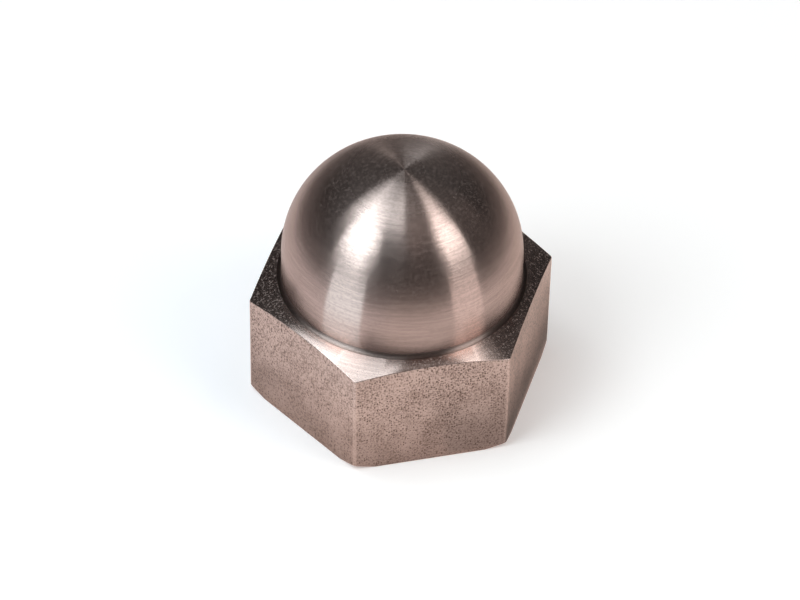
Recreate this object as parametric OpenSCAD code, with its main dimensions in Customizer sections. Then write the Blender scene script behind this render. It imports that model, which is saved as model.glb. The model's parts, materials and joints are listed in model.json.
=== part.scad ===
// Domed pulley nut: a closed hexagon nut, turned in one piece from hexagon bar.
// The origin is the centre of the bearing face. +Z runs along the thread, up to the crown of the dome.

/* [Hexagon] */
// Width across the flats, the spanner size
across_flats = 21; // [17:0.5:30]
// Height of a flat at its middle, from the bearing face up to the shoulder
flat_h = 10; // [7:0.5:16]
// Fall of the conical shoulder from the dome to the corners, in degrees
shoulder_angle = 17; // [8:1:30]
// Width of the chamfer across each corner of the bearing face, along the radius
corner_chamfer_w = 0.75; // [0.3:0.05:1.3]
// Rise of that chamfer from the bearing face, in degrees
corner_chamfer_angle = 30; // [15:1:45]

/* [Dome] */
// Width of the shoulder between the middle of a flat and the dome
shoulder_w = 1.1; // [0.6:0.1:3]
// Height of the dome's straight wall, from the shoulder to the start of the curve
dome_wall_h = 2.1; // [0.8:0.1:5]
// Diameter of the level spot on top of the dome, where its curve runs out
crown_d = 1.8; // [0.4:0.1:6]
// Radius of the fillet at the dome's foot
foot_fillet_r = 0.3; // [0.1:0.05:0.6]
// How far that fillet dips under the shoulder, as the nose of a turning tool leaves it
foot_dip = 0.02; // [0.01:0.01:0.06]

/* [Threaded hole] */
// Nominal diameter of the thread
thread_d = 14; // [8:1:16]
// Pitch of the thread, which also sets the tapping drill
thread_pitch = 1.5; // [1:0.25:2]
// Metal left between the drill point and the top of the crown
crown_t = 3.2; // [2:0.1:6]
// Included angle of the drill point, in degrees
drill_point_angle = 118; // [90:1:140]
// How far the countersink reaches past the thread, on the diameter
countersink_extra_d = 1; // [0.4:0.1:2]
// Included angle of the countersink, in degrees
countersink_angle = 120; // [90:5:140]

/* [Hidden] */
$fn = 128;

// Warm grey of bare turned steel
steel = [0.64, 0.57, 0.54];
// How far the bar and the cuts run past a finished face
overrun = 1;
hex_sides = 6;

// Hexagon and its two turned cones
flat_r = across_flats / 2;
corner_r = flat_r / cos(180 / hex_sides);
bearing_r = corner_r - corner_chamfer_w;
function shoulder_z(r) = flat_h - (r - flat_r) * tan(shoulder_angle);
function corner_chamfer_z(r) = (r - bearing_r) * tan(corner_chamfer_angle);

// Dome: a straight wall, a curve that starts upright from it, and the level crown that the curve ends in
dome_r = flat_r - shoulder_w;
foot_z = shoulder_z(dome_r);
crown_r = crown_d / 2;
curve_r = dome_r - crown_r;
curve_z = foot_z + dome_wall_h;
overall_h = curve_z + curve_r;

// Centre of the foot fillet
fillet_x = dome_r + foot_fillet_r;
fillet_z = shoulder_z(fillet_x) + foot_fillet_r - foot_dip;

// Blind hole: countersink, tapping drill and drill point
tap_drill_r = (thread_d - thread_pitch) / 2;
drill_point_z = overall_h - crown_t;
hole_depth = drill_point_z - tap_drill_r / tan(drill_point_angle / 2);
countersink_r = (thread_d + countersink_extra_d) / 2;
countersink_h = (countersink_r - tap_drill_r) / tan(countersink_angle / 2);
mouth_r = countersink_r + overrun * tan(countersink_angle / 2);

// Half section of the hexagon's two cones and the dome's straight wall, with the fillet between them
module foot_section() {
    far_r = corner_r + overrun;
    difference() {
        polygon([
            [0, 0],
            [bearing_r, 0],
            [far_r, corner_chamfer_z(far_r)],
            [far_r, shoulder_z(far_r)],
            [fillet_x, shoulder_z(fillet_x)],
            [fillet_x, fillet_z],
            [dome_r, fillet_z],
            [dome_r, curve_z],
            [0, curve_z]
        ]);
        translate([fillet_x, fillet_z])
            circle(foot_fillet_r);
    }
}

// Half section of the dome's curve and its level crown
module dome_section() {
    translate([0, curve_z]) {
        square([crown_r, curve_r]);
        intersection() {
            translate([crown_r, 0])
                circle(curve_r);
            square(dome_r + overrun);
        }
    }
}

// Everything that the lathe turns on the outside
module turned_outside() {
    rotate_extrude() {
        foot_section();
        dome_section();
    }
}

// The hexagon bar that the nut is cut from
module hexagon_bar() {
    translate([0, 0, -overrun])
        cylinder(r = corner_r, h = overall_h + 2 * overrun, $fn = hex_sides);
}

// The blind hole, drilled to the tapping size and countersunk
module tapping_hole() {
    rotate_extrude()
        polygon([
            [0, -overrun],
            [mouth_r, -overrun],
            [tap_drill_r, countersink_h],
            [tap_drill_r, hole_depth],
            [0, drill_point_z]
        ]);
}

module pulley_nut() {
    color(steel)
        difference() {
            intersection() {
                hexagon_bar();
                turned_outside();
            }
            tapping_hole();
        }
}

pulley_nut();
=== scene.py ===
"""Domed pulley nut: the turned, tapped and pitted steel nut, on a white studio stage."""

import json
import math
from typing import NamedTuple

import bmesh
import bpy
from bpy.props import FloatProperty, FloatVectorProperty, IntProperty, PointerProperty
from mathutils import Matrix, Vector


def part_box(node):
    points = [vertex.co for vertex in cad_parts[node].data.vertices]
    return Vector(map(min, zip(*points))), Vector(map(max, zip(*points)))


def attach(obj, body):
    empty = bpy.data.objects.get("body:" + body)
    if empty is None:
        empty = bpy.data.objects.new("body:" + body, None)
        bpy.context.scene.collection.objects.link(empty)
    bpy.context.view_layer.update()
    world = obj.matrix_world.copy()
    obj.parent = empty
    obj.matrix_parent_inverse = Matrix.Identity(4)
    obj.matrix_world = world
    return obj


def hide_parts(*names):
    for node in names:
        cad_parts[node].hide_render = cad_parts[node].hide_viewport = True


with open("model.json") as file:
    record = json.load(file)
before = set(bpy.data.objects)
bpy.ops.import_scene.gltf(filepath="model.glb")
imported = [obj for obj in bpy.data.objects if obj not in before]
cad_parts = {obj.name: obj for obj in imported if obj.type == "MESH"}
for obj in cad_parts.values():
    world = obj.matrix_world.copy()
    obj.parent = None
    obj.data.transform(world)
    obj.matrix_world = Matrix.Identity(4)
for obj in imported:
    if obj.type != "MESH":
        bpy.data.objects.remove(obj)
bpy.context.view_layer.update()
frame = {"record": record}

bl_info = {
    "name": "Pulley Nut",
    "version": (1, 0, 0),
    "blender": (4, 5, 0),
    "location": "View3D > Sidebar > Pulley Nut",
    "description": "Models a domed pulley nut with a tapped blind hole, and sets a white stage round it",
    "category": "Add Mesh",
}

MM = 0.001
NODE = "pulley_nut"
BODY = "root"
NODE_LOW, NODE_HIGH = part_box(NODE)
THREAD_MOUNT = next(mount for mount in frame["record"]["mounts"] if mount["name"] == "thread")

# Order of the finishes in the nut's material slots
DOME, CORNER, SHOULDER, FLATS, FACE, BORE = range(6)

AXIS = Vector((0.0, 0.0, 1.0))
FULL_TURN = math.tau
WELD_DISTANCE = 1e-7

# The blank, its flats and its edges
HEX_SIDES = 6
BLANK_MARGIN = 1 * MM
FILLET_STEPS = 8
BREAK_SEGMENTS = 4
BROKEN_BEND = math.radians(20)
SHARP_BEND = math.radians(25)

# The tap: parts of a pitch, whole turns past its tip, and half the angle between the flanks
ROOT_HALF_PART = 1 / 16
CORE_PART = 1 / 6
TIP_PART = 1 / 3
LEAD_IN_PITCHES = 2.5
SPARE_TURNS = 4
FLANK_ANGLE = math.radians(30)

# Sockets of a Mix node that hold its two colours and the mixed one
MIX_FIRST, MIX_SECOND, MIX_RESULT = 6, 7, 2
# Settings of the Principled shader that draw each highlight out across the turning marks
ACROSS_THE_MARKS = {"Anisotropic": 1.0, "Anisotropic Rotation": 0.25}

# The floor turns up into a low wall; its top lies just under the bearing face
FLOOR_TOP = -0.02 * MM
FLOOR_REACH = 2.0
FLOOR_COVE = 0.08
FLOOR_WALL = 0.2
FLOOR_STEPS = 96
COVE_STEPS = 12
# Where the paper's tint changes, in millimetres to the right of the nut's axis; the cooler tint to the left
# is painted light, for the cool light on that side
TINT_LEFT, TINT_RIGHT = -22.0, 0.0

CARD_STEPS = 48
CARD_LIFT = 0.2 * MM
LIGHT_AIM = AXIS * 12 * MM
CLIP_START, CLIP_END = 0.01, 20.0


def length(name, description, default):
    """A distance that a user may set, in metres."""
    return FloatProperty(name=name, description=description, default=default, min=0.0, precision=5,
                         subtype="DISTANCE", unit="LENGTH")


def angle(name, description, degrees):
    """An angle that a user may set, shown in degrees."""
    return FloatProperty(name=name, description=description, default=math.radians(degrees),
                         subtype="ANGLE", unit="ROTATION")


def share(name, description, default):
    """A plain number from nought to one."""
    return FloatProperty(name=name, description=description, default=default, min=0.0, max=1.0,
                         subtype="FACTOR")


def strength(name, description, default):
    """A brightness, where one is white."""
    return FloatProperty(name=name, description=description, default=default, min=0.0)


def colour(name, description, default):
    """A linear colour."""
    return FloatVectorProperty(name=name, description=description, default=default, size=3, min=0.0, max=1.0,
                               subtype="COLOR")


class NutSizes(bpy.types.PropertyGroup):
    """Sizes of the nut; the overall ones and the hole's come from the frame."""

    across_flats: length("Across flats", "Width across the flats", NODE_HIGH.y - NODE_LOW.y)
    height: length("Height", "Height from the bearing face to the crown", NODE_HIGH.z - NODE_LOW.z)
    flat_height: length("Flat height", "Height of a flat at its middle", 10 * MM)
    shoulder_angle: angle("Shoulder angle", "Fall of the conical shoulder towards the corners", 17)
    shoulder_width: length("Shoulder width", "Width of the shoulder at the middle of a flat", 1.1 * MM)
    chamfer_width: length("Chamfer width", "Width of the chamfer at each corner of the bearing face",
                          0.75 * MM)
    chamfer_angle: angle("Chamfer angle", "Rise of that chamfer from the bearing face", 30)
    crown_diameter: length("Crown diameter", "Level spot on top of the dome", 1.8 * MM)
    foot_fillet: length("Foot fillet", "Radius of the fillet at the dome's foot", 0.3 * MM)
    foot_dip: length("Foot dip", "How far that fillet dips under the shoulder", 0.02 * MM)
    corner_break: length("Corner break", "Width of the worn edge at each corner of the hexagon", 0.12 * MM)
    rim_break: length("Rim break", "Width of the worn edge above and below each flat", 0.04 * MM)
    thread_diameter: length("Thread diameter", "Nominal diameter of the thread", 14 * MM)
    thread_pitch: length("Thread pitch", "Rise of the thread in one turn", 1.5 * MM)
    tap_drill_radius: length("Tap drill radius", "Radius of the wall that the thread is cut in",
                             THREAD_MOUNT["dims"]["r_mm"] * MM)
    wall_length: length("Wall length", "Length of that wall, from the countersink to the drill point",
                        THREAD_MOUNT["dims"]["length_mm"] * MM)
    plain_length: length("Plain length", "Wall past the last full turn of the thread", 3.2 * MM)
    drill_point_angle: angle("Drill point angle", "Included angle of the drill point", 118)
    countersink_extra: length("Countersink extra", "How much wider than the thread the countersink is",
                              1 * MM)
    countersink_angle: angle("Countersink angle", "Included angle of the countersink", 120)
    turn_steps: IntProperty(name="Turn steps", description="Faces round a full turn, a multiple of six",
                            default=192, min=48, step=6)
    arc_steps: IntProperty(name="Arc steps", description="Faces along the dome's curve", default=40, min=8)


class NutFinish(bpy.types.PropertyGroup):
    """Colours and textures of the steel."""

    steel: colour("Steel", "Bare turned steel", (0.468, 0.325, 0.281))
    # Painted light: the shoulder's steel is made lighter than the dome's, standing for the extra light the
    # shoulder catches
    lit_shoulder_steel: colour("Shoulder steel", "Brighter steel of the shoulder", (0.53, 0.368, 0.318))
    steel_edge: colour("Steel edge", "Tint of the steel where it is seen edge on", (1.0, 0.88, 0.82))
    # Painted shade: the fillet at the dome's foot gets this dark steel, standing in for the shade that falls
    # in that corner
    shaded_corner_steel: colour("Corner steel", "Stained steel in the corner at the dome's foot",
                         (0.26, 0.183, 0.158))
    flat_steel: colour("Flat steel", "Satin steel of the flats", (0.555, 0.392, 0.335))
    stain: colour("Stain", "Brown stain between the bright grains of the flats", (0.24, 0.157, 0.128))
    # This colour is both the dirt in the pits and the painted shade low down on the flats
    pit_dirt_and_shade: colour("Pit", "Dirt in the small pits", (0.12, 0.072, 0.057))
    bore_steel: colour("Bore steel", "Oiled steel of the tapped hole", (0.42, 0.34, 0.305))
    turned_roughness: share("Turned roughness", "Roughness of the turned dome", 0.25)
    flat_roughness: share("Flat roughness", "Roughness of the satin flats", 0.34)
    pit_crowd: FloatProperty(name="Pit crowd", description="Pits to a millimetre", default=5.2, min=0.1)


class StageSettings(bpy.types.PropertyGroup):
    """Camera, lights and floor."""

    camera_azimuth: angle("Camera azimuth", "Turn of the camera round the nut; nought looks along +Y",
                          -13.94)
    camera_elevation: angle("Camera elevation", "Height of the camera above the horizon", 43.6)
    camera_roll: angle("Camera roll", "Tilt of the camera about its own line of sight", 1.31)
    camera_distance: length("Camera distance", "Distance from the camera to its aim", 300 * MM)
    camera_aim: FloatVectorProperty(name="Camera aim", description="Point that the camera looks at",
                                    default=(-0.43 * MM, -1.33 * MM, 8.54 * MM), size=3, precision=5,
                                    subtype="TRANSLATION", unit="LENGTH")
    camera_lens: FloatProperty(name="Camera lens", description="Focal length in millimetres", default=173.25,
                               min=1.0)
    floor: colour("Floor", "White paper of the floor and the wall round it", (0.93, 0.785, 0.73))
    # Painted light: the paper to the left is tinted cooler, for the cool light that falls on that side
    left_floor_light_tint: colour("Left floor", "The paper to the left of the nut", (0.925, 0.82, 0.815))
    floor_glow: share("Floor glow", "Part of the white that the paper keeps in the shade", 0.26)
    room: colour("Room", "Dim room round the stage", (0.042, 0.0455, 0.048))
    light_distance: length("Light distance", "Distance from the nut to each soft box", 500 * MM)
    light_level: strength("Light level", "Factor on the brightness of every soft box", 0.96)
    card: colour("Card", "Dark cards round the nut", (0.04, 0.04, 0.04))
    card_distance: length("Card distance", "Radius of the ring of dark cards", 85 * MM)
    card_height: length("Card height", "Height of the ring of dark cards", 20 * MM)


class SoftBox(NamedTuple):
    """A soft light: its two ends in degrees to the right of the camera and up, its width in metres, its
    brightness, where one is white, and its colour."""

    foot: tuple
    head: tuple
    width: float
    brightness: float
    colour: tuple


COOL = (0.71, 0.9, 0.99)
FRESH = (0.87, 0.97, 1.0)
PLAIN = (1.0, 1.0, 1.0)
SOFT_BOXES = {
    "left_soft_box": SoftBox((-62.5, 31), (-54.5, 61), 0.28, 6.6, COOL),
    "right_soft_box": SoftBox((66, 30), (73, 60), 0.2, 4.5, FRESH),
    "side_soft_box": SoftBox((-108, 49), (-100, 70), 0.13, 2.2, COOL),
    "top_soft_box": SoftBox((-96, 54), (154, 86), 0.29, 3.5, COOL),
    "back_soft_box": SoftBox((80, 61), (140, 67), 0.075, 2.9, FRESH),
    "left_fill": SoftBox((-92, 30), (-150, 55), 0.25, 0.07, COOL),
    "right_fill": SoftBox((92, 30), (125, 50), 0.25, 0.1, PLAIN),
    "top_fill": SoftBox((40, 50), (70, 86), 0.3, 0.3, PLAIN),
    "back_fill": SoftBox((180, 8), (180, 40), 0.2, 0.12, PLAIN),
    "crown_fill": SoftBox((168, 66), (160, 84), 0.12, 0.55, FRESH),
}


class FloorCard(NamedTuple):
    """A card on the floor, seen in the steel alone: the ends of its near and far edge in degrees to the
    right of the camera and metres out, the rise of its far edge, its brightness and its colour."""

    near: tuple
    far: tuple
    rise: float
    brightness: float
    colour: tuple


FLOOR_CARDS = {
    "left_light_card": FloorCard(
        ((-62, 0.023), (-31, 0.023)), ((-62, 0.08), (-31, 0.08)), 0.025, 2.25, COOL),
    "right_light_card": FloorCard(
        ((42, 0.023), (68, 0.023)), ((42, 0.08), (68, 0.08)), 0.025, 1.3, PLAIN),
    # The shade cards are painted shade: dim sheets for the nut's shadow on the floor beside the right and
    # front flats, as the steel mirrors it
    "right_shade_card": FloorCard(
        ((42, 0.0124), (124, 0.017)), ((46, 0.0137), (120, 0.018)), 0.0, 0.25, PLAIN),
    "front_shade_card": FloorCard(
        ((22, 0.0107), (54, 0.0139)), ((19, 0.0161), (43, 0.0184)), 0.0, 0.75, PLAIN),
}


# Half section of the nut, drawn edge by edge and turned about the axis


def line(radius, height):
    """A move of the pen along a straight line."""
    return lambda bm, vert: straight(bm, vert, radius, height)


def arc(centre_radius, centre_height, turn, steps):
    """A move of the pen along an arc round a centre; a positive turn goes from +Z towards +X."""
    return lambda bm, vert: curved(bm, vert, centre_radius, centre_height, turn, steps)


def straight(bm, vert, radius, height):
    """Draws a straight edge from a vertex and gives its end."""
    end = bmesh.ops.extrude_vert_indiv(bm, verts=[vert])["verts"][0]
    end.co = (radius, 0.0, height)
    return end


def curved(bm, vert, centre_radius, centre_height, turn, steps):
    """Draws an arc from a vertex and gives its end."""
    made = bmesh.ops.spin(bm, geom=[vert], cent=(centre_radius, 0.0, centre_height), axis=(0.0, 1.0, 0.0),
                          angle=turn, steps=steps, use_duplicate=False)
    return of_kind(bmesh.types.BMVert, made["geom_last"])[0]


def of_kind(kind, items):
    """The vertices, edges or faces among the results of a bmesh operator."""
    return [item for item in items if isinstance(item, kind)]


def turn_section(bm, steps, finish, start, *moves):
    """Draws a stretch of the half section from its start, turns it about the axis and gives it a finish."""
    old_edges, old_faces = set(bm.edges), set(bm.faces)
    vert = bm.verts.new((start[0], 0.0, start[1]))
    for move in moves:
        vert = move(bm, vert)
    edges = [edge for edge in bm.edges if edge not in old_edges]
    verts = list({end for edge in edges for end in edge.verts})
    bmesh.ops.spin(bm, geom=verts + edges, cent=(0.0, 0.0, 0.0), axis=AXIS, angle=FULL_TURN, steps=steps,
                   use_merge=True, use_duplicate=False)
    for face in bm.faces:
        if face not in old_faces:
            face.material_index = finish


def corner_radius(sizes):
    """Radius of the hexagon's corners."""
    return sizes.across_flats / 2 / math.cos(math.pi / HEX_SIDES)


def hole_levels(sizes):
    """Radius of the countersink's mouth, and the heights at which the hole's wall starts and ends."""
    sink_r = (sizes.thread_diameter + sizes.countersink_extra) / 2
    sink_z = (sink_r - sizes.tap_drill_radius) / math.tan(sizes.countersink_angle / 2)
    return sink_r, sink_z, sink_z + sizes.wall_length


def turn_blank(bm, sizes):
    """The round blank: everything that is turned or drilled about the axis, before the flats."""
    flat_r = sizes.across_flats / 2
    corner_r = corner_radius(sizes)
    blank_r = corner_r + BLANK_MARGIN
    bearing_r = corner_r - sizes.chamfer_width
    chamfer_z = (blank_r - bearing_r) * math.tan(sizes.chamfer_angle)
    dome_r = flat_r - sizes.shoulder_width
    crown_r = sizes.crown_diameter / 2
    curve_r = dome_r - crown_r
    curve_z = sizes.height - curve_r
    fillet_r = sizes.foot_fillet
    fillet_x = dome_r + fillet_r

    def shoulder_z(radius):
        return sizes.flat_height - (radius - flat_r) * math.tan(sizes.shoulder_angle)

    # The fillet leaves the dome's wall upright and crosses the shoulder just past its lowest point
    fillet_z = shoulder_z(fillet_x) + fillet_r - sizes.foot_dip
    depth = (fillet_r - sizes.foot_dip) * math.cos(sizes.shoulder_angle)
    fillet_turn = math.pi / 2 - sizes.shoulder_angle + math.acos(depth / fillet_r)
    foot_r = fillet_x - fillet_r * math.cos(fillet_turn)
    foot_z = fillet_z - fillet_r * math.sin(fillet_turn)

    tap_r = sizes.tap_drill_radius
    sink_r, sink_z, wall_z = hole_levels(sizes)
    point_z = wall_z + tap_r / math.tan(sizes.drill_point_angle / 2)
    steps = sizes.turn_steps

    turn_section(bm, steps, BORE, (0.0, point_z), line(tap_r, wall_z), line(tap_r, sink_z),
                 line(sink_r, 0.0))
    turn_section(bm, steps, FACE, (sink_r, 0.0), line(bearing_r, 0.0), line(blank_r, chamfer_z))
    turn_section(bm, steps, FLATS, (blank_r, chamfer_z), line(blank_r, shoulder_z(blank_r)))
    turn_section(bm, steps, SHOULDER, (blank_r, shoulder_z(blank_r)), line(foot_r, foot_z))
    turn_section(bm, steps, DOME, (0.0, sizes.height), line(crown_r, sizes.height),
                 arc(crown_r, curve_z, math.pi / 2, sizes.arc_steps), line(dome_r, fillet_z))
    turn_section(bm, steps, CORNER, (dome_r, fillet_z), arc(fillet_x, fillet_z, -fillet_turn, FILLET_STEPS))
    bmesh.ops.remove_doubles(bm, verts=bm.verts, dist=WELD_DISTANCE)
    bmesh.ops.recalc_face_normals(bm, faces=bm.faces)


def slice_off(bm, place, outward):
    """Cuts away what lies past a plane, closes the cut and gives the faces that close it."""
    cut = bmesh.ops.bisect_plane(bm, geom=bm.verts[:] + bm.edges[:] + bm.faces[:], dist=WELD_DISTANCE,
                                 plane_co=place, plane_no=outward, clear_outer=True)
    return bmesh.ops.contextual_create(bm, geom=of_kind(bmesh.types.BMEdge, cut["geom_cut"]))["faces"]


def cut_flats(bm, sizes):
    """Cuts the six flats off the blank."""
    for side in range(HEX_SIDES):
        turn = (side + 0.5) * FULL_TURN / HEX_SIDES
        outward = Vector((math.cos(turn), math.sin(turn), 0.0))
        for face in slice_off(bm, outward * sizes.across_flats / 2, outward):
            face.material_index = FLATS
    bmesh.ops.recalc_face_normals(bm, faces=bm.faces)


def break_edges(bm, sizes):
    """Rounds the edges round each flat: the corners a little, the turned edges less."""
    for width, upright in ((sizes.corner_break, True), (sizes.rim_break, False)):
        sharp = []
        for edge in bm.edges:
            rise = abs(edge.verts[0].co.z - edge.verts[1].co.z)
            flats = sum(face.material_index == FLATS for face in edge.link_faces)
            bent = edge.calc_face_angle(0.0) > BROKEN_BEND
            if bent and flats and (rise > sizes.flat_height / 2) == upright:
                sharp.append(edge)
        bmesh.ops.bevel(bm, geom=sharp, offset=width, offset_type="OFFSET", affect="EDGES",
                        segments=BREAK_SEGMENTS, profile=0.5, material=-1, clamp_overlap=True)


def make_tap(sizes):
    """The tap: a solid with the thread's form, run out to nothing at its tip."""
    pitch = sizes.thread_pitch
    root_r = sizes.thread_diameter / 2
    core_r = sizes.tap_drill_radius - pitch * CORE_PART
    root_half = pitch * ROOT_HALF_PART
    flank_half = root_half + (root_r - core_r) * math.tan(FLANK_ANGLE)
    wall_top = hole_levels(sizes)[2]
    full_top = wall_top - sizes.plain_length
    tip = wall_top - pitch * TIP_PART
    turns = math.ceil(tip / pitch) + SPARE_TURNS
    steps = sizes.turn_steps // 2

    bm = bmesh.new()
    start = bm.verts.new((core_r, 0.0, -LEAD_IN_PITCHES * pitch))
    middle = start.co.z + pitch / 2
    vert = start
    for radius, height in ((core_r, middle - flank_half), (root_r, middle - root_half),
                           (root_r, middle + root_half), (core_r, middle + flank_half),
                           (core_r, start.co.z + pitch)):
        vert = straight(bm, vert, radius, height)
    bmesh.ops.spin(bm, geom=bm.verts[:] + bm.edges[:], cent=(0.0, 0.0, 0.0), axis=AXIS,
                   angle=FULL_TURN * turns, steps=steps * turns, dvec=AXIS * pitch / steps,
                   use_duplicate=False)
    bmesh.ops.remove_doubles(bm, verts=bm.verts, dist=WELD_DISTANCE * 10)
    slice_off(bm, -AXIS * pitch, -AXIS)
    slice_off(bm, AXIS * tip, AXIS)
    # The run-out: past the last full turn the thread gets shallower up to the tip
    taper = (root_r - core_r) / (tip - full_top)
    for vert in bm.verts:
        limit = root_r - max(vert.co.z - full_top, 0.0) * taper
        reach = vert.co.to_2d().length
        if reach > limit:
            vert.co.x *= limit / reach
            vert.co.y *= limit / reach
    bmesh.ops.recalc_face_normals(bm, faces=bm.faces)
    for face in bm.faces:
        face.material_index = BORE
    return bm


def link_mesh(name, bm, materials):
    """Puts a bmesh into a new object at the origin, with its materials in order."""
    mesh = bpy.data.meshes.new(name)
    for material in materials:
        mesh.materials.append(material)
    bm.to_mesh(mesh)
    bm.free()
    made = bpy.data.objects.new(name, mesh)
    bpy.context.scene.collection.objects.link(made)
    return made


def tap_hole(nut, sizes):
    """Cuts the thread with the tap and takes the tap away again."""
    tap = link_mesh("tap", make_tap(sizes), nut.data.materials)
    cut = nut.modifiers.new("tapped thread", "BOOLEAN")
    cut.operation = "DIFFERENCE"
    cut.solver = "EXACT"
    cut.object = tap
    drilled = nut.data
    tapped = nut.evaluated_get(bpy.context.evaluated_depsgraph_get())
    nut.data = bpy.data.meshes.new_from_object(tapped)
    nut.modifiers.clear()
    bpy.data.meshes.remove(drilled)
    bpy.data.meshes.remove(tap.data)


def smooth_faces(nut):
    """Shades the turned faces smooth and keeps the real edges sharp."""
    bm = bmesh.new()
    bm.from_mesh(nut.data)
    for face in bm.faces:
        face.smooth = True
    for edge in bm.edges:
        edge.smooth = edge.calc_face_angle(0.0) < SHARP_BEND
    bm.to_mesh(nut.data)
    bm.free()
    even = nut.modifiers.new("even normals", "WEIGHTED_NORMAL")
    even.keep_sharp = True


# Finishes


class Nodes:
    """A new material, with short calls for building its nodes."""

    def __init__(self, name):
        self.material = bpy.data.materials.new(name)
        self.material.use_nodes = True
        self.tree = self.material.node_tree
        self.tree.nodes.clear()

    def add(self, kind, inputs=None, **settings):
        """A node with its settings; each input takes a value, or another node's output to link."""
        made = self.tree.nodes.new(kind)
        for name, value in settings.items():
            setattr(made, name, value)
        for socket, value in (inputs or {}).items():
            if isinstance(value, bpy.types.NodeSocket):
                self.tree.links.new(value, made.inputs[socket])
            else:
                made.inputs[socket].default_value = value
        return made

    def math(self, operation, first, second):
        """A sum, product or the like of two numbers."""
        return self.add("ShaderNodeMath", {0: first, 1: second}, operation=operation).outputs[0]

    def vector(self, operation, first, second=(0.0, 0.0, 0.0)):
        """A sum, product or the like of two vectors."""
        return self.add("ShaderNodeVectorMath", {0: first, 1: second}, operation=operation).outputs["Vector"]

    def scaled(self, vector, factor):
        """A vector or colour times a number."""
        made = self.add("ShaderNodeVectorMath", {0: vector, "Scale": factor}, operation="SCALE")
        return made.outputs["Vector"]

    def ramp(self, value, low, high, to_low=0.0, to_high=1.0):
        """A smooth change, from to_low where the value is low up to to_high where it is high."""
        limits = {"Value": value, "From Min": low, "From Max": high, "To Min": to_low, "To Max": to_high}
        return self.add("ShaderNodeMapRange", limits, interpolation_type="SMOOTHSTEP").outputs["Result"]

    def mix(self, factor, first, second):
        """A colour between two others."""
        colours = {"Factor": factor, MIX_FIRST: first, MIX_SECOND: second}
        return self.add("ShaderNodeMix", colours, data_type="RGBA").outputs[MIX_RESULT]

    def blend(self, part, first, second):
        """A number between two others, with a fixed part of the first."""
        rest = self.math("MULTIPLY", second, 1.0 - part)
        return self.math("ADD", self.math("MULTIPLY", first, part), rest)

    def noise(self, vector, scale, detail, roughness=0.5):
        """Soft noise."""
        made = self.add("ShaderNodeTexNoise", {"Vector": vector, "Scale": scale, "Detail": detail,
                                               "Roughness": roughness})
        return made.outputs["Fac"]

    def place(self):
        """Object coordinates in millimetres."""
        return self.scaled(self.add("ShaderNodeTexCoord").outputs["Object"], 1 / MM)

    def level(self, place):
        """A place without its height."""
        return self.vector("MULTIPLY", place, (1.0, 1.0, 0.0))

    def height(self, place):
        """Height above the bearing face."""
        return self.add("ShaderNodeSeparateXYZ", {0: place}).outputs["Z"]

    def radius(self, place):
        """Distance from the nut's axis."""
        return self.add("ShaderNodeVectorMath", {0: self.level(place)}, operation="LENGTH").outputs["Value"]

    def finished(self, shader):
        """The material, with this shader on its surface."""
        self.add("ShaderNodeOutputMaterial", {"Surface": shader})
        return self.material

    def steel(self, inputs):
        """The material, as a metal with these inputs."""
        return self.finished(self.add("ShaderNodeBsdfPrincipled", inputs).outputs[0])


def opaque(rgb, factor=1.0):
    """A colour with its alpha, made lighter or darker by a factor."""
    return (*(channel * factor for channel in rgb), 1.0)


def lathe_marks(nodes, place, sweep, pitch, detail):
    """Noise drawn out round the axis: long along a turning mark and fine across it."""
    around = nodes.scaled(nodes.vector("NORMALIZE", nodes.level(place)), sweep)
    along = nodes.math("SUBTRACT", nodes.height(place), nodes.radius(place))
    rise = nodes.add("ShaderNodeCombineXYZ", {"Z": nodes.math("MULTIPLY", along, 1 / pitch)}).outputs[0]
    return nodes.noise(nodes.vector("ADD", around, rise), scale=1.0, detail=detail, roughness=0.6)


def pits(nodes, place, per_mm, reach_low, reach_high):
    """Depth of small scattered pits, from nought to one; in some patches they reach further."""
    crowd = nodes.noise(place, scale=0.3, detail=2.0)
    reach = nodes.ramp(crowd, 0.35, 0.6, reach_low, reach_high)
    drawn_out = nodes.vector("MULTIPLY", place, (1.0, 1.0, 0.7))
    cell = nodes.add("ShaderNodeTexVoronoi", {"Vector": drawn_out, "Scale": per_mm, "Randomness": 0.8})
    inside = nodes.ramp(nodes.math("SUBTRACT", reach, cell.outputs["Distance"]), -0.04, 0.08)
    chance = nodes.add("ShaderNodeSeparateXYZ", {0: cell.outputs["Color"]}).outputs["X"]
    return nodes.math("MULTIPLY", inside, nodes.ramp(chance, 0.0, 1.0, 0.35, 1.0))


def round_tangent(nodes, place):
    """Direction of the turning marks, round the axis."""
    return nodes.vector("NORMALIZE", nodes.vector("CROSS_PRODUCT", AXIS, place))


def turned_steel(name, finish, colour, roughness, specks=0.0, grains_to_mm=6.0):
    """Bright steel with small dull specks and fine turning marks, which draw each highlight out across them.

    Towards the crown it gets darker, rougher and duller, apart from the smoother spot in its middle.
    """
    nodes = Nodes(name)
    place = nodes.place()
    reach = nodes.radius(place)
    marks = lathe_marks(nodes, place, sweep=3.0, pitch=0.17, detail=0.0)
    grain = nodes.noise(place, scale=grains_to_mm, detail=2.0, roughness=0.7)
    tone = nodes.ramp(nodes.blend(0.35, marks, grain), 0.36, 0.64)
    streaks = nodes.mix(tone, opaque(colour, 0.88), opaque(colour, 1.12))
    base = nodes.scaled(streaks, nodes.ramp(reach, 1.0, 6.0, 0.84, 1.0))
    rough = nodes.math("ADD", nodes.ramp(reach, 2.0, 6.5, roughness + 0.05, roughness),
                       nodes.ramp(reach, 1.1, 1.9, -0.07, 0.0))
    dull = nodes.ramp(grain, 0.5, 0.65, 0.0, specks)
    metal = nodes.math("SUBTRACT", nodes.ramp(reach, 2.0, 8.0, 0.91, 1.0), dull)
    return nodes.steel({"Base Color": base, "Metallic": metal, "Roughness": rough, **ACROSS_THE_MARKS,
                        "Tangent": round_tangent(nodes, place), "Specular Tint": opaque(finish.steel_edge)})


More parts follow.
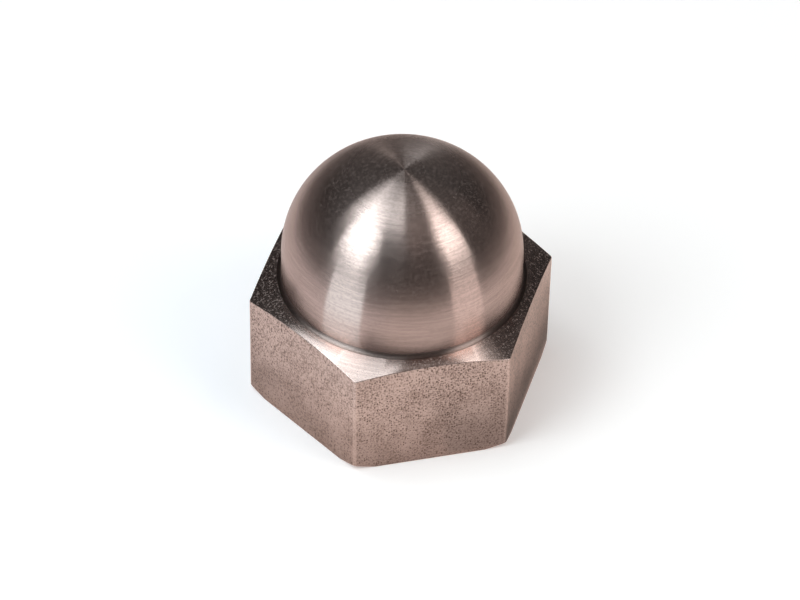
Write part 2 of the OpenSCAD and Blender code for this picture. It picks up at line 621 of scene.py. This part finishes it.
def pitted_steel(finish, corner_mm):
    """Satin steel of the flats: a sandy grain, small dark pits, painted shade darkening them towards the
    bearing face, and bare worn corners.
    """
    nodes = Nodes("pitted flats")
    place = nodes.place()
    mottle = nodes.noise(place, scale=0.4, detail=3.0, roughness=0.6)
    grain = nodes.noise(place, scale=6.0, detail=2.0, roughness=0.75)
    tone = nodes.ramp(nodes.blend(0.75, grain, mottle), 0.36, 0.56)
    clean = nodes.mix(tone, opaque(finish.stain), opaque(finish.flat_steel))
    # Painted shade: the flats darken, mottled, towards the bearing face, for the nut's shadow on the floor
    # that they mirror
    level = nodes.math("ADD", nodes.height(place), nodes.math("MULTIPLY", mottle, 6.0))
    low_shade = nodes.ramp(level, 2.5, 11.0, 0.5, 0.0)
    holes = pits(nodes, place, finish.pit_crowd, 0.33, 0.4)
    # The dirt in the pits and the painted shade low down share one dark colour
    pits_and_low_shade = nodes.math("MAXIMUM", low_shade, nodes.math("MULTIPLY", holes, 0.93))
    pitted_and_shaded = nodes.mix(pits_and_low_shade, clean, opaque(finish.pit_dirt_and_shade))
    worn = nodes.ramp(nodes.radius(place), corner_mm - 0.13, corner_mm - 0.05, 0.0, 0.35)
    base = nodes.mix(worn, pitted_and_shaded, opaque(finish.flat_steel, 1.15))
    rough = nodes.ramp(grain, 0.3, 0.7, finish.flat_roughness - 0.05, finish.flat_roughness + 0.05)
    relief = nodes.math("MULTIPLY", nodes.math("SUBTRACT", grain, holes), 0.006)
    bump = nodes.add("ShaderNodeBump", {"Height": relief, "Strength": 1.0, "Distance": MM}).outputs["Normal"]
    return nodes.steel({"Base Color": base, "Metallic": 1.0, "Roughness": rough, "Normal": bump,
                        "Specular Tint": opaque(finish.steel_edge)})


def tapped_steel(finish):
    """Darker, oiled steel of the hole, with the tap's marks."""
    nodes = Nodes("tapped hole")
    marks = lathe_marks(nodes, nodes.place(), sweep=2.0, pitch=0.16, detail=3.0)
    base = nodes.mix(marks, opaque(finish.bore_steel, 0.75), opaque(finish.bore_steel, 1.15))
    rough = nodes.ramp(marks, 0.3, 0.7, 0.3, 0.42)
    return nodes.steel({"Base Color": base, "Metallic": 1.0, "Roughness": rough})


def finishes(finish, sizes):
    """The nut's materials, in the order of its slots."""
    roughness = finish.turned_roughness
    return (
        turned_steel("turned dome", finish, finish.steel, roughness, specks=0.09, grains_to_mm=4.2),
        # The fillet's dark steel is painted shade in the corner at the dome's foot
        turned_steel("turned corner", finish, finish.shaded_corner_steel, roughness + 0.1),
        # The shoulder gets the lighter steel, as painted light
        turned_steel("turned shoulder", finish, finish.lit_shoulder_steel, roughness - 0.01, specks=0.3),
        pitted_steel(finish, corner_radius(sizes) / MM),
        turned_steel("turned bearing face", finish, finish.steel, roughness + 0.05),
        tapped_steel(finish),
    )


class PULLEYNUT_OT_model(bpy.types.Operator):
    """Model the pulley nut: turn the blank, cut the flats, tap the hole and give each surface its finish"""

    bl_idname = "pulley_nut.model"
    bl_label = "Pulley nut"

    def execute(self, context):
        sizes, finish = context.scene.nut_sizes, context.scene.nut_finish
        bm = bmesh.new()
        turn_blank(bm, sizes)
        cut_flats(bm, sizes)
        break_edges(bm, sizes)
        nut = link_mesh("domed_nut", bm, finishes(finish, sizes))
        tap_hole(nut, sizes)
        smooth_faces(nut)
        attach(nut, BODY)
        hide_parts(NODE)
        return {"FINISHED"}


# Stage


def direction(azimuth, elevation):
    """Unit vector to a place round the nut; azimuth nought is in front, at -Y."""
    level = math.cos(elevation)
    return Vector((math.sin(azimuth) * level, -math.cos(azimuth) * level, math.sin(elevation)))


def beside_camera(stage, turn, rise=0.0):
    """Unit vector to a place given in degrees to the right of the camera and up."""
    return direction(stage.camera_azimuth + math.radians(turn), math.radians(rise))


def paper(stage):
    """White paper, which keeps part of its white in the shade for what sees it or mirrors it."""
    nodes = Nodes("white paper")
    ray = nodes.add("ShaderNodeLightPath").outputs
    seen = nodes.math("MAXIMUM", nodes.math("MAXIMUM", ray["Is Camera Ray"], ray["Is Glossy Ray"]),
                      ray["Is Transmission Ray"])
    right = beside_camera(stage, 90.0)
    across = nodes.add("ShaderNodeVectorMath", {0: nodes.place(), 1: right}, operation="DOT_PRODUCT")
    rightward = nodes.ramp(across.outputs["Value"], TINT_LEFT, TINT_RIGHT)
    # Painted light: the paper is cooler to the left and warmer to the right, for the different light on each
    # side
    tint = nodes.mix(rightward, opaque(stage.left_floor_light_tint), opaque(stage.floor))
    lit = nodes.add("ShaderNodeBsdfDiffuse", {"Color": tint}).outputs[0]
    kept = nodes.math("MULTIPLY", seen, stage.floor_glow)
    glow = nodes.add("ShaderNodeEmission", {"Strength": kept}).outputs[0]
    sheet = nodes.add("ShaderNodeAddShader", {0: lit, 1: glow}).outputs[0]
    clear = nodes.add("ShaderNodeBsdfTransparent").outputs[0]
    below = nodes.add("ShaderNodeNewGeometry").outputs["Backfacing"]
    return nodes.finished(nodes.add("ShaderNodeMixShader", {0: below, 1: sheet, 2: clear}).outputs[0])


def lay_floor(stage):
    """A round sheet of paper that turns up into a low wall far from the nut."""
    bm = bmesh.new()
    flat_reach = FLOOR_REACH - FLOOR_COVE
    turn_section(bm, FLOOR_STEPS, 0, (0.0, FLOOR_TOP), line(flat_reach, FLOOR_TOP),
                 arc(flat_reach, FLOOR_TOP + FLOOR_COVE, -math.pi / 2, COVE_STEPS),
                 line(FLOOR_REACH, FLOOR_WALL))
    bmesh.ops.remove_doubles(bm, verts=bm.verts, dist=WELD_DISTANCE)
    for face in bm.faces:
        face.smooth = True
    bmesh.ops.recalc_face_normals(bm, faces=bm.faces)
    middle = min(bm.faces, key=lambda face: face.calc_center_median().length)
    if middle.normal.z < 0:
        bmesh.ops.reverse_faces(bm, faces=bm.faces)
    link_mesh("paper_floor", bm, [paper(stage)])


def stand_cards(stage):
    """A low ring of dark cards, which only the steel's reflections show."""
    nodes = Nodes("dark card")
    material = nodes.finished(nodes.add("ShaderNodeBsdfDiffuse", {"Color": opaque(stage.card)}).outputs[0])
    bm = bmesh.new()
    turn_section(bm, CARD_STEPS, 0, (stage.card_distance, 0.0), line(stage.card_distance, stage.card_height))
    show_in_steel(link_mesh("dark_cards", bm, [material]))


def lay_card(name, card, stage):
    """A card that runs out over the floor, some with the far edge turned up."""
    nodes = Nodes(name)
    light = nodes.add("ShaderNodeEmission", {"Color": opaque(card.colour), "Strength": card.brightness})
    material = nodes.finished(light.outputs[0])
    bm = bmesh.new()
    edges = []
    for corners in (card.near, card.far):
        ends = [bm.verts.new(beside_camera(stage, turn) * reach + AXIS * CARD_LIFT)
                for turn, reach in corners]
        edges += bmesh.ops.contextual_create(bm, geom=ends)["edges"]
    bmesh.ops.bridge_loops(bm, edges=edges)
    if card.rise:
        upright = bmesh.ops.extrude_edge_only(bm, edges=edges[1:])["geom"]
        bmesh.ops.translate(bm, vec=AXIS * card.rise, verts=of_kind(bmesh.types.BMVert, upright))
    show_in_steel(link_mesh(name, bm, [material]))


def show_in_steel(card):
    """Leaves a card of the stage to the steel's reflections alone."""
    card.visible_camera = False
    card.visible_diffuse = False
    card.visible_shadow = False


def hang_light(name, box, stage):
    """A soft box turned towards the nut, from its foot to its head."""
    foot = beside_camera(stage, *box.foot)
    head = beside_camera(stage, *box.head)
    back = (foot + head).normalized()
    up = (head - foot).normalized()
    lamp = bpy.data.lights.new(name, "AREA")
    lamp.shape = "RECTANGLE"
    lamp.color = box.colour
    lamp.size = box.width
    lamp.size_y = stage.light_distance * foot.angle(head)
    lamp.energy = stage.light_level * box.brightness * math.pi * lamp.size * lamp.size_y
    holder = bpy.data.objects.new(name, lamp)
    bpy.context.scene.collection.objects.link(holder)
    holder.visible_camera = False
    turned = Matrix((up.cross(back), up, back)).transposed().to_4x4()
    holder.matrix_world = Matrix.Translation(LIGHT_AIM + back * stage.light_distance) @ turned


def dim_room(scene, stage):
    """The dim room that the stage stands in."""
    world = bpy.data.worlds.new("dim room")
    world.use_nodes = True
    world.node_tree.nodes["Background"].inputs["Color"].default_value = opaque(stage.room)
    scene.world = world


def set_camera(scene, stage):
    """The camera, looking at its aim."""
    camera = bpy.data.objects.new("camera", bpy.data.cameras.new("camera"))
    scene.collection.objects.link(camera)
    camera.data.lens = stage.camera_lens
    camera.data.clip_start = CLIP_START
    camera.data.clip_end = CLIP_END
    back = direction(stage.camera_azimuth, stage.camera_elevation)
    level = (-back).to_track_quat("-Z", "Y").to_matrix().to_4x4()
    turned = level @ Matrix.Rotation(stage.camera_roll, 4, "Z")
    place = Vector(stage.camera_aim) + back * stage.camera_distance
    camera.matrix_world = Matrix.Translation(place) @ turned
    scene.camera = camera


class PULLEYNUT_OT_stage(bpy.types.Operator):
    """Set the stage: white paper, soft boxes, dark cards, a dim room and the camera"""

    bl_idname = "pulley_nut.stage"
    bl_label = "Stage"

    def execute(self, context):
        scene, stage = context.scene, context.scene.nut_stage
        lay_floor(stage)
        stand_cards(stage)
        for name, card in FLOOR_CARDS.items():
            lay_card(name, card, stage)
        for name, box in SOFT_BOXES.items():
            hang_light(name, box, stage)
        dim_room(scene, stage)
        set_camera(scene, stage)
        scene.view_settings.view_transform = "Standard"
        return {"FINISHED"}


class PULLEYNUT_PT_panel(bpy.types.Panel):
    """Lists what the add-on makes and what can be set"""

    bl_idname = "PULLEYNUT_PT_panel"
    bl_label = "Pulley Nut"
    bl_space_type = "VIEW_3D"
    bl_region_type = "UI"
    bl_category = "Pulley Nut"

    def draw(self, context):
        for operator in (PULLEYNUT_OT_model, PULLEYNUT_OT_stage):
            self.layout.operator(operator.bl_idname)
        for settings in (context.scene.nut_sizes, context.scene.nut_finish, context.scene.nut_stage):
            box = self.layout.box()
            for name in settings.__annotations__:
                box.prop(settings, name)


SETTINGS = {"nut_sizes": NutSizes, "nut_finish": NutFinish, "nut_stage": StageSettings}
CLASSES = (*SETTINGS.values(), PULLEYNUT_OT_model, PULLEYNUT_OT_stage, PULLEYNUT_PT_panel)


def register():
    """Adds the classes and their settings to Blender."""
    for kind in CLASSES:
        bpy.utils.register_class(kind)
    for name, kind in SETTINGS.items():
        setattr(bpy.types.Scene, name, PointerProperty(type=kind))


def unregister():
    """Takes the settings and the classes away again."""
    for name in SETTINGS:
        delattr(bpy.types.Scene, name)
    for kind in reversed(CLASSES):
        bpy.utils.unregister_class(kind)


def main():
    """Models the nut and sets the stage."""
    register()
    bpy.ops.pulley_nut.model()
    bpy.ops.pulley_nut.stage()


if __name__ == "__main__":
    main()
